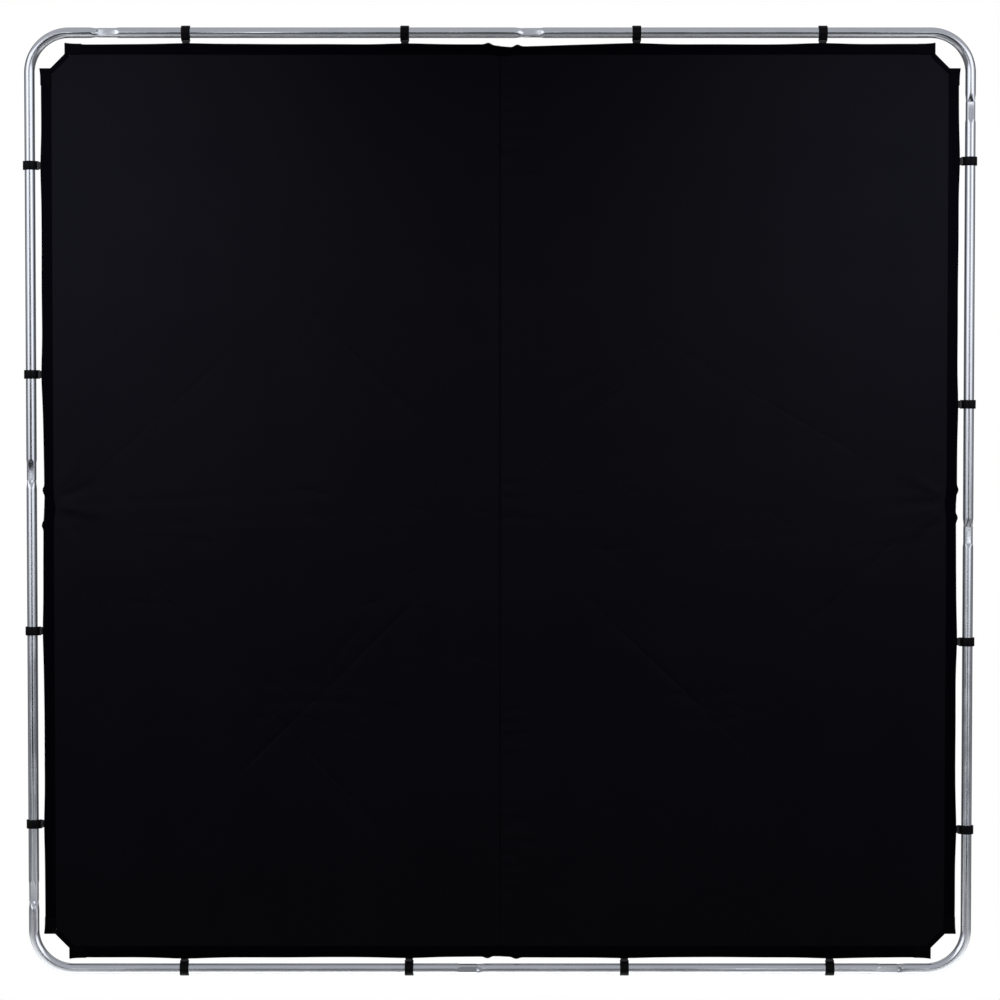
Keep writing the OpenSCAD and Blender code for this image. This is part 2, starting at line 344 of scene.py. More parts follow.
for turn, side in enumerate(SIDES):
    corner = CORNERS[turn]
    for name, mouth, shoulder, body, node in (
            (side + "_drawn_tube", NEAR_MOUTH, MID_MOUTH, side + "_side", side + "_tube"),
            (corner + "_bent_tube", MID_MOUTH, BEND_END + BEND_START + NEAR_MOUTH,
             corner + "_corner", corner + "_corner_tube")):
        tube = sweep(name, turn, tube_rings(mouth, shoulder))
        tube.data.materials.append(aluminium)
        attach(tube, body)
        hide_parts(node)


# Shock cord: one braided elastic cord runs through all the tubes and keeps them together when they
# are pulled apart. It stretches across each joint, and its two ends meet at the last one.

CORD_R = 2.5 * MM
FINE_END = 160 * MM                     # this much of each length has closer rings
STRETCH = 60 * MM                       # and this much was to take up a joint's opening; the stretch is not made
CHAIN = ["bottom_side", "bottom_left_corner", "left_side", "top_left_corner", "top_side",
         "top_right_corner", "right_side", "bottom_right_corner"]

# Braided polyester over latex: dull black, with the braid's diamonds 2 mm long.
braid, tree, out = new_material("braided_shock_cord")
flow = add(tree, "ShaderNodeAttribute", attribute_name="flow")
plait = add(tree, "ShaderNodeMapping", {"Vector": flow.outputs["Vector"], "Scale": (500, 500, 500)})
strands = add(tree, "ShaderNodeTexChecker", {"Vector": plait.outputs[0], "Scale": 1.0,
                                             "Color1": linear("#151517"), "Color2": linear("#242428")})
weave = add(tree, "ShaderNodeBump", {"Height": strands.outputs["Fac"], "Strength": 0.5,
                                     "Distance": 0.0002})
shader = add(tree, "ShaderNodeBsdfPrincipled", {
    "Base Color": strands.outputs["Color"], "Roughness": 0.75, "Normal": weave.outputs[0]})
tree.links.new(shader.outputs[0], out.inputs[0])

for turn, side in enumerate(SIDES):
    corner = CORNERS[turn]
    for name, start, end, body, node in (
            (side + "_cord", NEAR_MOUTH, MID_MOUTH, side + "_side", side + "_tube_cord"),
            (corner + "_cord", MID_MOUTH, BEND_END + BEND_START + NEAR_MOUTH,
             corner + "_corner", corner + "_corner_cord")):
        bend = [s for s in steps(BEND_START, BEND_END, 16) if start < s < end - FINE_END]
        lengths = sorted([start + 0.2 * MM] + bend + steps(end - FINE_END, end - 0.2 * MM, 12))
        cord = sweep(name, turn, [(s, squared(CORD_R, CORD_R)) for s in lengths], closed=False)
        cord.data.materials.append(braid)
        link = CHAIN.index(body)
        if link + 1 < len(CHAIN):
            a, b = along_tubes(turn, end - STRETCH).translation, along_tubes(turn, end).translation
            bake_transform(cord)
        else:
            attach(cord, body)
        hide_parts(node)


# Hook clips: sixteen moulded black nylon hooks. Each goes over the tube from the front, and two
# cheeks behind it carry the bar that its elastic strap loops round.

CLIP_W = 18.5 * MM
HOOK_R, HOOK_WALL = TUBE_R + 0.4 * MM, 3.4 * MM
BAR_REACH, BAR_R = 16.5 * MM, 1.25 * MM
CHEEK = 1.1 * MM
CLIP_NUMBERS = range(1, 5)              # four clips to a side, clockwise
NOSE = [(-15.0, -4.6), (-15.5, -4.0), (-15.0, -3.5), (-12.2, -4.6)]     # mm from the tube's axis
EYE = [(-1.4, -1.4), (-2.1, 0), (-1.2, 1.7), (1.2, 1.4)]                # mm from the bar's axis

# Where each clip sits along its side: the middle of its CAD node
CLIP_AT = {}
for turn, side in enumerate(SIDES):
    for n in CLIP_NUMBERS:
        lo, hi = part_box(f"{side}_clip_{n}")
        CLIP_AT[side, n] = (side_axes(turn).inverted() @ ((lo + hi) / 2)).x


def polar(r, degrees):
    """A point of an outline, at this angle from straight outward."""
    return Vector((r * math.cos(math.radians(degrees)), r * math.sin(math.radians(degrees))))


def across(bm, outline, width, middle=0.0):
    """Extrudes an outline of (outward, to the back) points to this width along the side."""
    corners = [bm.verts.new((middle - width / 2, y, z)) for z, y in outline]
    face = bm.faces.new(corners)
    made = bmesh.ops.extrude_face_region(bm, geom=[face])["geom"]
    bmesh.ops.translate(bm, vec=(width, 0, 0), verts=[v for v in made if isinstance(v, bmesh.types.BMVert)])
    return corners[0]


def finish_mesh(bm, name, smooth=38):
    """Ends a bmesh as an object with its faces outward and its sharp edges marked."""
    bmesh.ops.recalc_face_normals(bm, faces=bm.faces)
    mesh = bpy.data.meshes.new(name)
    bm.to_mesh(mesh)
    bm.free()
    mesh.shade_smooth()
    mesh.set_sharp_from_angle(angle=math.radians(smooth))
    made = bpy.data.objects.new(name, mesh)
    bpy.context.collection.objects.link(made)
    return made


# Moulded nylon: near black, satin, with the fine grain of a spark-eroded mould, 0.8 mm here.
nylon, tree, out = new_material("moulded_black_nylon")
where = add(tree, "ShaderNodeTexCoord")
grain = add(tree, "ShaderNodeTexNoise", {"Vector": where.outputs["Object"], "Scale": 1200.0,
                                         "Detail": 2.0})
wear = add(tree, "ShaderNodeTexNoise", {"Vector": where.outputs["Object"], "Scale": 140.0, "Detail": 3.0})
gloss = add(tree, "ShaderNodeMapRange", {"Value": wear.outputs[0], "From Min": 0.3, "From Max": 0.7,
                                         "To Min": 0.30, "To Max": 0.46})
skin = add(tree, "ShaderNodeBump", {"Height": grain.outputs[0], "Strength": 0.2, "Distance": 0.0001})
shader = add(tree, "ShaderNodeBsdfPrincipled", {
    "Base Color": linear("#020203"), "Roughness": gloss.outputs[0], "Normal": skin.outputs[0],
    "Specular IOR Level": 0.07})
tree.links.new(shader.outputs[0], out.inputs[0])

for turn, side in enumerate(SIDES):
    for n in CLIP_NUMBERS:
        bm = bmesh.new()
        outline = [polar(HOOK_R + HOOK_WALL, a) for a in range(8, -151, -7)]
        outline += [Vector((out * MM, back * MM)) for out, back in NOSE]
        outline += [polar(HOOK_R, a) for a in range(-150, 11, 8)]
        outline.append(polar(HOOK_R + HOOK_WALL / 2, 15))
        across(bm, outline, CLIP_W)
        bmesh.ops.bevel(bm, geom=[e for e in bm.edges if e.calc_face_angle(0) > 0.9], offset=0.9 * MM,
                        affect="EDGES", segments=3, profile=0.5, material=-1)
        cheek = [polar(HOOK_R + 0.4 * MM, -147), polar(HOOK_R + HOOK_WALL - 0.4 * MM, -138)]
        cheek += [Vector((-BAR_REACH + out * MM, back * MM)) for out, back in EYE]
        for end in (-1, 1):
            across(bm, cheek, CHEEK, end * (CLIP_W - CHEEK) / 2)
        bar = Matrix.Translation((0, 0, -BAR_REACH)) @ Matrix.Rotation(math.pi / 2, 4, "Y")
        bmesh.ops.create_cone(bm, cap_ends=True, segments=20, radius1=BAR_R, radius2=BAR_R,
                              depth=CLIP_W - CHEEK, matrix=bar)
        bmesh.ops.transform(bm, verts=bm.verts,
                            matrix=side_axes(turn) @ Matrix.Translation((CLIP_AT[side, n], 0, 0)))
        hook = finish_mesh(bm, f"{side}_hook_clip_{n}")
        hook.data.materials.append(nylon)
        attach(hook, f"{side}_clip_{n}")
        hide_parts(f"{side}_clip_{n}")


# Elastic straps: short black elastic webbing, looped round each clip's bar and lying behind the
# hem. Each is closed by a dense bar of stitches near the bar and another at its inner end.

STRAP_W, STRAP_T, STRAP_LEN = 16 * MM, 1.2 * MM, 72 * MM
EYE_R = BAR_R + 0.15 * MM
HEM_T = 4 * MM
STRAP_BACK = HEM_T / 2 + 0.4 * MM
THREAD_R = 0.35 * MM
TACKS_AT = (6 * MM, 44 * MM)            # from the strap's inner end
TACK_STITCHES, TACK_PITCH = 12, 1.2 * MM

# Woven elastic: ribs across the strap 1.5 mm apart over a matt black yarn.
elastic, tree, out = new_material("woven_elastic_webbing")
where = add(tree, "ShaderNodeTexCoord")
yarn = add(tree, "ShaderNodeTexNoise", {"Vector": where.outputs["Object"], "Scale": 900.0, "Detail": 2.0})
ribs = add(tree, "ShaderNodeTexVoronoi", {"Vector": where.outputs["Object"], "Scale": 650.0,
                                          "Randomness": 0.15})
cord_bump = add(tree, "ShaderNodeBump", {"Height": ribs.outputs["Distance"], "Strength": 0.6,
                                         "Distance": 0.0003})
shade = add(tree, "ShaderNodeValToRGB", {"Fac": yarn.outputs[0]})
shade.color_ramp.elements[0].color = linear("#0A0A0B")
shade.color_ramp.elements[1].color = linear("#1B1B1D")
shader = add(tree, "ShaderNodeBsdfPrincipled", {
    "Base Color": shade.outputs[0], "Roughness": 0.8, "Normal": cord_bump.outputs[0]})
tree.links.new(shader.outputs[0], out.inputs[0])

# Bonded polyester thread: black and nearly matt, like the cloth that it sews.
thread, tree, out = new_material("bonded_thread")
shader = add(tree, "ShaderNodeBsdfPrincipled", {
    "Base Color": linear("#020203"), "Roughness": 0.6, "Specular IOR Level": 0.03})
tree.links.new(shader.outputs[0], out.inputs[0])

one_stitch = bpy.data.meshes.new("one_stitch")
bm = bmesh.new()
bmesh.ops.create_icosphere(bm, subdivisions=1, radius=1)
bm.to_mesh(one_stitch)
bm.free()


def stitch(bm, place, length, radius=THREAD_R):
    """One stitch: a short thread that dips at both ends, along the place's X axis."""
    shape = place @ Matrix.Diagonal((length / 2, radius, radius, 1))
    one_stitch.transform(shape)
    bm.from_mesh(one_stitch)
    one_stitch.transform(shape.inverted())


def slant(k, degrees):
    """Turns stitch number k of a zigzag to one side or the other."""
    return Matrix.Rotation(math.radians(degrees * (-1) ** k), 4, "Y")


for turn, side in enumerate(SIDES):
    corner = CORNERS[turn]
    for name, body, numbers, node in (
            (side + "_webbing", side + "_side", (1, 2), side + "_tube_straps"),
            (corner + "_webbing", corner + "_corner", (3, 4), corner + "_corner_straps")):
        bm = bmesh.new()
        tacks = bmesh.new()
        for n in numbers:
            at = Matrix.Translation((CLIP_AT[side, n], 0, 0))
            before = set(bm.verts)
            tip = -BAR_REACH - STRAP_LEN
            loop_r = EYE_R + STRAP_T
            outline = [Vector((-BAR_REACH, 0)) + polar(loop_r, a) for a in range(90, -181, -15)]
            outline += [Vector((-BAR_REACH - 4 * MM, STRAP_BACK - 0.6 * MM)),
                        Vector((-BAR_REACH - 6 * MM, STRAP_BACK)), Vector((tip, STRAP_BACK)),
                        Vector((tip, STRAP_BACK + STRAP_T)),
                        Vector((-BAR_REACH - 5 * MM, STRAP_BACK + STRAP_T))]
            across(bm, outline, STRAP_W)
            bmesh.ops.transform(bm, verts=[v for v in bm.verts if v not in before], matrix=at)
            for back_from_tip in TACKS_AT:
                for k in range(TACK_STITCHES):
                    row = (k - (TACK_STITCHES - 1) / 2) * TACK_PITCH
                    spot = at @ Matrix.Translation((row, STRAP_BACK + STRAP_T, tip + back_from_tip))
                    stitch(tacks, spot @ slant(k, 72), 4 * MM)
        bmesh.ops.bevel(bm, geom=[e for e in bm.edges if e.calc_face_angle(0) > 1.2], offset=0.25 * MM,
                        affect="EDGES", segments=1, profile=0.5, material=-1)
        for mesh in (bm, tacks):
            bmesh.ops.transform(mesh, verts=mesh.verts, matrix=side_axes(turn))
        webbing = finish_mesh(bm, name)
        webbing.data.materials.append(elastic)
        bars = finish_mesh(tacks, name + "_bar_tacks", smooth=80)
        bars.data.materials.append(thread)
        for piece in (webbing, bars):
            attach(piece, body)
        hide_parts(node)


# Cover: two halves of black coated block-out cloth, sewn together down the middle and pulled flat
# in the frame. It is stored folded, so it keeps creases, and it puckers where the hem can bend.

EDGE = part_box("cover_right")[1].x       # the cloth's half width, where the hem begins
CORNER_CUT = EDGE - (1000 - 86 - 8 * math.sqrt(2)) * MM         # how much of each edge is cut off
CLOTH_T = 0.5 * MM
SPACING = 6.4 * MM                      # between the points of the cloth
ROOT = "bottom_side"                    # the body that the cover stays with

# Fold lines as (start, end, height in mm, half width in mm), on a square from -1 to 1
FOLDS = [
    ((-0.95, 0.95), (-0.02, 0.03), 1.7, 5), ((0.95, 0.95), (0.03, 0.04), 1.5, 5),
    ((-0.92, 0.05), (-0.60, 0.34), 1.7, 6), ((0.92, 0.04), (0.30, 0.40), 1.6, 6),
    ((-0.72, -0.74), (-0.10, -0.13), 2.6, 5), ((-0.78, -0.18), (-0.04, -0.98), 2.2, 5),
    ((0.12, -0.14), (0.62, -0.62), 2.4, 5), ((0.62, -0.34), (0.92, -0.05), 2.0, 5),
    ((0.02, 0.02), (0.42, 0.40), 1.6, 5), ((-0.35, 0.36), (-0.14, 0.16), 1.2, 5),
    ((-0.58, -0.30), (-0.20, -0.20), 0.8, 6), ((0.38, -0.42), (0.56, -0.50), 1.5, 5),
    ((-0.22, -0.16), (-0.46, -0.46), 1.3, 5), ((0.90, -0.90), (0.84, -0.82), 1.2, 5),
    ((-0.45, -0.47), (-0.28, -0.54), 1.4, 4), ((-0.44, -0.43), (-0.30, -0.41), 1.2, 4),
    ((0.46, -0.45), (0.52, -0.42), 1.2, 4), ((-0.80, -0.22), (-0.74, -0.17), 1.2, 4),
]

# Short crinkles where the folds meet, at mid height and beside the centre seam: for each patch its
# middle, its half size across and up, and how many
CRINKLES = [((-0.40, -0.44), 0.15, 0.07, 13), ((0.46, -0.45), 0.08, 0.06, 8), ((0.0, -0.07), 0.70, 0.10, 22),
            ((-0.80, -0.20), 0.08, 0.05, 5), ((0.05, -0.50), 0.05, 0.06, 5), ((0.05, 0.80), 0.04, 0.10, 5),
            ((0.05, -0.80), 0.05, 0.12, 7), ((-0.15, -0.30), 0.20, 0.10, 6), ((0.30, 0.25), 0.25, 0.15, 5)]
chance = np.random.default_rng(21)
for (x, z), wide, tall, count in CRINKLES:
    for _ in range(count):
        cx, cz = x + wide * chance.uniform(-1, 1), z + tall * chance.uniform(-1, 1)
        reach, slope = chance.uniform(0.015, 0.05), chance.normal(0, 0.35)
        FOLDS.append(((cx - reach, cz - reach * slope), (cx + reach, cz + reach * slope),
                      chance.uniform(0.7, 1.7), 4))


def from_line(x, z, start, end):
    """Each point's distance from a line between two points, and how far along it is, from 0 to 1."""
    ax, az = start[0] * EDGE, start[1] * EDGE
    dx, dz = end[0] * EDGE - ax, end[1] * EDGE - az
    t = np.clip(((x - ax) * dx + (z - az) * dz) / (dx * dx + dz * dz), 0, 1)
    return np.hypot(x - ax - t * dx, z - az - t * dz), t


def rolling(x, z, wave, stretch, count=14):
    """Soft waves of about this length, longer across than up by the stretch, between -1 and 1."""
    chance = np.random.default_rng(round(wave * 1000 + stretch * 10))
    total = np.zeros_like(x)
    for _ in range(count):
        angle, phase = chance.uniform(-0.5, 0.5), chance.uniform(0, 2 * math.pi)
        size = wave * chance.uniform(0.7, 1.5)
        total += np.sin((x * math.sin(angle) / stretch + z * math.cos(angle)) * 2 * math.pi / size + phase)
    return total / count ** 0.5 / 1.6


def near(distance, reach):
    """1 where the distance is nothing, fading away over the reach."""
    return np.exp(-(distance / reach) ** 2)


def cloth_depth(x, z):
    """How far the cloth stands to the back at each point, from its creases, puckers and slack."""
    slack = 1.6 * rolling(x, z, 0.55, 1.2) + 0.5 * rolling(x, z, 0.16, 1.8)
    depth = slack + 0.12 * rolling(x, z, 0.05, 2.5)
    chance = np.random.default_rng(7)
    for start, end, height, width in FOLDS:
        away, t = from_line(x, z, start, end)
        patchy = 0.75 + 0.25 * np.sin(t * chance.uniform(9, 17) + chance.uniform(0, 6))
        tapered = np.sin(math.pi * np.clip(t, 0.0, 1.0)) ** 0.5
        depth += height * np.exp(-away / (width * MM)) * tapered * patchy
    # Crinkles round mid height, where the folded cover hangs over its own edge
    depth += 1.0 * near(z + 0.05, 0.07) * rolling(x, z, 0.035, 5.0) * (0.5 + 0.5 * rolling(x, z, 0.5, 1.0))
    # The lower left quarter has a fan of short level crinkles beside its fold
    depth += 1.2 * near(np.hypot((x + 0.34) / 2.2, z + 0.44), 0.075) * rolling(x, z, 0.040, 4.0)
    depth += 1.0 * near(np.hypot((x - 0.45) / 1.6, z + 0.44), 0.05) * rolling(x, z, 0.035, 3.0)
    # Puckers fan out from the soft breaks in the side hems
    for end, strength in ((-1, 3.4), (1, 2.6)):
        dx, dz = EDGE - end * x, z
        reach = np.hypot(dx, dz)
        angle = np.arctan2(dz, dx + 0.02)
        fan = np.sin(angle * 7.0 + 1.3 * end + 3.0 * rolling(x, z, 0.3, 1.0) * 0.4)
        depth += strength * near(reach, 0.085) * fan * np.clip(reach / 0.03, 0, 1)
        depth += 1.3 * near(reach, 0.10) * np.sin(angle * 17.0 + 2.0)
    # Small puckers down the right of the centre seam, in four stretches
    for z0, length in ((0.80, 0.22), (0.02, 0.14), (-0.48, 0.12), (-0.74, 0.26)):
        ripple = np.sin(z * 2 * math.pi / 0.030 + 3.0 * rolling(x * 0, z, 0.12, 1.0))
        depth += 1.8 * near(z - z0, length / 2) * np.exp(-np.clip(x, 0, 1) / 0.035) * ripple * (x > 0)
    # The seam itself pulls in, and the cloth is held flat at the hems
    depth += 0.9 * np.exp(-np.abs(x) / 0.006)
    held = np.clip((EDGE - np.maximum(np.abs(x), np.abs(z))) / 0.035, 0, 1)
    return depth * held * held * (3 - 2 * held) * MM


# Polyester taffeta with a black block-out coating: deep black, a low satin sheen and a plain weave.
# The threads are far finer than can show, so the weave is drawn 1.6 mm apart.
cloth, tree, out = new_material("coated_blockout_taffeta")
where = add(tree, "ShaderNodeTexCoord")
warp = add(tree, "ShaderNodeTexWave", {"Vector": where.outputs["Object"], "Scale": 196.0,
                                       "Distortion": 0.6, "Detail": 1.0}, bands_direction="X")
weft = add(tree, "ShaderNodeTexWave", {"Vector": where.outputs["Object"], "Scale": 196.0,
                                       "Distortion": 0.6, "Detail": 1.0}, bands_direction="Z")
threads = add(tree, "ShaderNodeMath", {0: warp.outputs["Fac"], 1: weft.outputs["Fac"]},
              operation="MULTIPLY")
uneven = add(tree, "ShaderNodeMapping", {"Vector": where.outputs["Object"], "Scale": (9, 9, 2.5)})
slubs = add(tree, "ShaderNodeTexNoise", {"Vector": uneven.outputs[0], "Scale": 1.0, "Detail": 5.0})
sheen = add(tree, "ShaderNodeMapRange", {"Value": slubs.outputs[0], "From Min": 0.3, "From Max": 0.7,
                                         "To Min": 0.46, "To Max": 0.58})
shade = add(tree, "ShaderNodeValToRGB", {"Fac": slubs.outputs[0]})
shade.color_ramp.elements[0].color = linear("#030305")
shade.color_ramp.elements[1].color = linear("#040406")
weave = add(tree, "ShaderNodeBump", {"Height": threads.outputs[0], "Strength": 0.15, "Distance": 0.0002})
shader = add(tree, "ShaderNodeBsdfPrincipled", {
    "Base Color": shade.outputs[0], "Roughness": sheen.outputs[0], "Normal": weave.outputs[0],
    "Specular IOR Level": 0.02})
tree.links.new(shader.outputs[0], out.inputs[0])

for sign, name in ((-1, "cover_left"), (1, "cover_right")):
    bm = bmesh.new()
    across_count, up_count = round(EDGE / SPACING), round(2 * EDGE / SPACING)
    bmesh.ops.create_grid(bm, x_segments=across_count, y_segments=up_count, size=1)
    lay = Matrix.Translation((sign * EDGE / 2, 0, HALF)) @ Matrix.Rotation(math.pi / 2, 4, "X")
    bmesh.ops.transform(bm, verts=bm.verts, matrix=lay @ Matrix.Diagonal((EDGE / 2, EDGE, 1, 1)))
    for up in (-1, 1):
        cut = CENTRE + Vector((sign * EDGE, 0, up * (EDGE - CORNER_CUT)))
        bmesh.ops.bisect_plane(bm, geom=bm.verts[:] + bm.edges[:] + bm.faces[:], plane_co=cut,
                               plane_no=(sign, 0, up), clear_outer=True)
    # Each fold line is cut into the grid, so that it stays a crisp line and not a soft wave. The long
    # ones also have a cut on each side.
    for start, end, height, width in FOLDS:
        if sign * (start[0] + end[0]) < 0:
            continue
        a = Vector((start[0], 0, start[1])) * EDGE + CENTRE
        b = Vector((end[0], 0, end[1])) * EDGE + CENTRE
        along = (b - a).normalized()
        square = Vector((-along.z, 0, along.x))
        faces = []
        for f in bm.faces:
            away = f.calc_center_median() - a
            if abs(away.dot(square)) < 0.012 and -0.008 < away.dot(along) < (b - a).length + 0.008:
                faces.append(f)
        geom = list({e for f in faces for e in f.edges} | {v for f in faces for v in f.verts}) + faces
        long_fold = height > 1.0 and (b - a).length > 0.15
        for off in (-3.5 * MM, 0, 3.5 * MM) if long_fold else (0,):
            geom = bmesh.ops.bisect_plane(bm, geom=geom, plane_co=a + square * off, plane_no=square,
                                          dist=0.2 * MM)["geom"]
    points = np.array([v.co for v in bm.verts])
    for v, y in zip(bm.verts, cloth_depth(points[:, 0], points[:, 2] - HALF)):
        v.co.y = y
    mesh = bpy.data.meshes.new(name + "_cloth")
    bm.to_mesh(mesh)
    bm.free()
    mesh.shade_smooth()
    half = bpy.data.objects.new(name + "_cloth", mesh)
    bpy.context.collection.objects.link(half)
    thick = half.modifiers.new("thickness", "SOLIDIFY")
    thick.thickness, thick.offset = CLOTH_T, 0.0
    mesh.materials.append(cloth)
    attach(half, ROOT)
    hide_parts(name)


# Centre seam: the two halves are joined by two rows of stitching, with a tape behind them that keeps
# light out of the needle holes.

# Hem tape and seam tape: ribbed woven polyester, matt and as black as the hem.
tape, tree, out = new_material("woven_black_tape")
where = add(tree, "ShaderNodeTexCoord")
ribs = add(tree, "ShaderNodeTexNoise", {"Vector": where.outputs["Object"], "Scale": 800.0, "Detail": 2.0})
ribbing = add(tree, "ShaderNodeBump", {"Height": ribs.outputs[0], "Strength": 0.4, "Distance": 0.0002})
shader = add(tree, "ShaderNodeBsdfPrincipled", {
    "Base Color": linear("#010102"), "Roughness": 0.9, "Normal": ribbing.outputs[0],
    "Specular IOR Level": 0.03})
tree.links.new(shader.outputs[0], out.inputs[0])

TAPE_W, TAPE_T = 12 * MM, 0.6 * MM
bm = bmesh.new()
lay = Matrix.Translation((0, 0, HALF)) @ Matrix.Rotation(math.pi / 2, 4, "X")
bmesh.ops.create_grid(bm, x_segments=2, y_segments=270, size=1,
                      matrix=lay @ Matrix.Diagonal((TAPE_W / 2, EDGE - 2 * MM, 1, 1)))
heights = np.array([v.co.z - HALF for v in bm.verts])
behind = np.max([cloth_depth(heights * 0 + x * MM, heights) for x in (-6, -3, 0, 3, 6)], axis=0)
for v, y in zip(bm.verts, behind):
    v.co.y = y + (CLOTH_T + TAPE_T) / 2 + 0.05 * MM
bmesh.ops.solidify(bm, geom=bm.faces[:], thickness=TAPE_T)
seam_tape = finish_mesh(bm, "centre_seam_tape_sewn", smooth=60)
seam_tape.data.materials.append(tape)
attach(seam_tape, ROOT)
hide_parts("centre_seam_tape")

bm = bmesh.new()
heights = np.arange(-EDGE + 4 * MM, EDGE - 4 * MM, 4.2 * MM)
for x in (-2.4 * MM, 2.4 * MM):
    for z, y in zip(heights, cloth_depth(heights * 0 + x, heights)):
        spot = Matrix.Translation((x, y - CLOTH_T / 2 - 0.1 * MM, HALF + z))
        stitch(bm, spot @ Matrix.Rotation(math.pi / 2, 4, "Y"), 3.4 * MM, 0.25 * MM)
seam_stitches = finish_mesh(bm, "centre_seam_stitches", smooth=80)
seam_stitches.data.materials.append(thread)
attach(seam_stitches, ROOT)


# Hems: the cloth's edges are turned over into flat sleeves, two to a side, that hold the battens.
# The clips pull them outward a little, so each hem's edge is slightly wavy.

HEM_W = 21 * MM
HEM_OUT = EDGE + HEM_W                  # from the frame's centre to the hem's outer edge
HEM_STOP = 914 * MM                     # how far from the side's middle the hem ends
BREAK = 31 * MM                         # and where its two stiff halves begin
HEM_PULL, PULL_REACH = 2.0 * MM, 55 * MM
PATCH_LEN = 35 * MM

# Each side's two tucks beside its middle, how deep the gap between them is, how far the edge sags
# beyond it, and where along the side its waves start (mm, mm, mm, radians)
TUCKS = {"top": (-24, 36), "right": (-28, 30), "bottom": (-34, 26), "left": (-46, 27)}
HEM_DIP = {"top": 3.2, "right": 1.4, "bottom": 1.8, "left": 1.6}
HEM_SAG = {"top": 5.0, "right": 2.2, "bottom": 2.0, "left": 2.4}
HEM_PHASE = {"top": 0.3, "right": 1.1, "bottom": 2.1, "left": 3.7}

# The hem is the same cloth, uncoated side out: a dead black.
hem_cloth, tree, out = new_material("uncoated_black_hem")
where = add(tree, "ShaderNodeTexCoord")
fibre = add(tree, "ShaderNodeTexNoise", {"Vector": where.outputs["Object"], "Scale": 700.0, "Detail": 3.0})
fuzz = add(tree, "ShaderNodeBump", {"Height": fibre.outputs[0], "Strength": 0.35, "Distance": 0.0003})
shader = add(tree, "ShaderNodeBsdfPrincipled", {
    "Base Color": linear("#010102"), "Roughness": 0.9, "Normal": fuzz.outputs[0],
    "Specular IOR Level": 0.01})
tree.links.new(shader.outputs[0], out.inputs[0])


def hem_section(side, s):
    """The hem's outer edge, inner edge and half thickness at length s, and how far it stands back."""
    low, high = (t * MM for t in TUCKS[side])
    outer, thick = HEM_OUT - 0.2 * MM, HEM_T / 2
    outer += 0.4 * MM * math.sin(9 * s + HEM_PHASE[side]) + 0.2 * MM * math.sin(31 * s)
    for n in CLIP_NUMBERS:
        outer += HEM_PULL * math.exp(-((s - CLIP_AT[side, n]) / PULL_REACH) ** 2)
    reach = 110 * MM if s > high else 30 * MM
    outer -= HEM_SAG[side] * MM * math.exp(-((s - high) / reach) ** 2)
    gap = (s - (low + high) / 2) / ((high - low) / 2)
    if abs(gap) < 1:
        outer -= HEM_DIP[side] * MM * math.cos(gap * math.pi / 2) ** 0.8
        thick *= 0.8
    for tuck, size in ((low, 2.8 * MM), (high, 3.2 * MM)):
        knot = math.exp(-(abs(s - tuck) / (7.5 * MM)) ** 3) * (1 + 0.25 * math.sin(s * 1900))
        outer += size * knot
        thick += 0.9 * MM * knot
    return outer, EDGE - 1.0 * MM, thick, 0.0


def ribbon(bm, stations, section, axes, around=20):
    """Extrudes a flat rounded section along X through the stations, as one closed solid."""
    made = bmesh.ops.create_circle(bm, segments=around, radius=1)["verts"]
    loop = sorted(made, key=lambda v: math.atan2(v.co.y, v.co.x))
    angles = [math.atan2(v.co.y, v.co.x) for v in loop]
    edges = first = list({e for v in loop for e in v.link_edges})
    whole = list(loop)
    for i, s in enumerate(stations):
        if i:
            made = bmesh.ops.extrude_edge_only(bm, edges=edges)["geom"]
            old = set(loop)
            edges = [e for e in made if isinstance(e, bmesh.types.BMEdge) and not old & set(e.verts)]
            partner = {e.other_vert(v): v for edge in edges for v in edge.verts
                       for e in v.link_edges if e.other_vert(v) in old}
            loop = [partner[v] for v in loop]
            whole += loop
        outer, inner, thick, back = section(s)
        for v, angle in zip(loop, angles):
            wide = math.copysign(abs(math.cos(angle)) ** 0.35, math.cos(angle))
            deep = math.copysign(abs(math.sin(angle)) ** 0.8, math.sin(angle))
            v.co = (s, deep * thick + back, (outer + inner) / 2 + wide * (outer - inner) / 2 - HALF)
    bmesh.ops.contextual_create(bm, geom=first)
    bmesh.ops.contextual_create(bm, geom=edges)
    bmesh.ops.transform(bm, verts=whole, matrix=axes)


for turn, side in enumerate(SIDES):
    bm = bmesh.new()
    rows = bmesh.new()
    for start, end in ((-HEM_STOP, -BREAK), (BREAK, HEM_STOP)):
        ribbon(bm, steps(start, end, 150), lambda s: hem_section(side, s), side_axes(turn))
    for s in np.arange(-HEM_STOP + 3 * MM, HEM_STOP - 3 * MM, 5 * MM):
        spot = Matrix.Translation((s, -1.68 * MM, EDGE + 1.4 * MM - HALF))
        stitch(rows, side_axes(turn) @ spot, 3.8 * MM, 0.3 * MM)
    for n in CLIP_NUMBERS:
        edge = hem_section(side, CLIP_AT[side, n])[0]
        for k in range(9):
            along = CLIP_AT[side, n] + (k - 4) * MM
            spot = Matrix.Translation((along, -1.95 * MM, edge - 4.6 * MM - HALF))
            stitch(rows, side_axes(turn) @ spot @ slant(k, 70), 2.6 * MM, 0.45 * MM)
    sleeve = finish_mesh(bm, side + "_hem_sleeve", smooth=60)
    sleeve.data.materials.append(hem_cloth)
    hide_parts(side + "_hem")
    stitching = finish_mesh(rows, side + "_hem_stitches", smooth=80)
    stitching.data.materials.append(thread)
    for piece in (sleeve, stitching):
        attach(piece, ROOT)


# Gathers: in the middle of each side the sleeve is empty for 60 mm, so the hem can bend there when
# the cover is folded. The empty cloth dips and puckers between two knotted tucks.


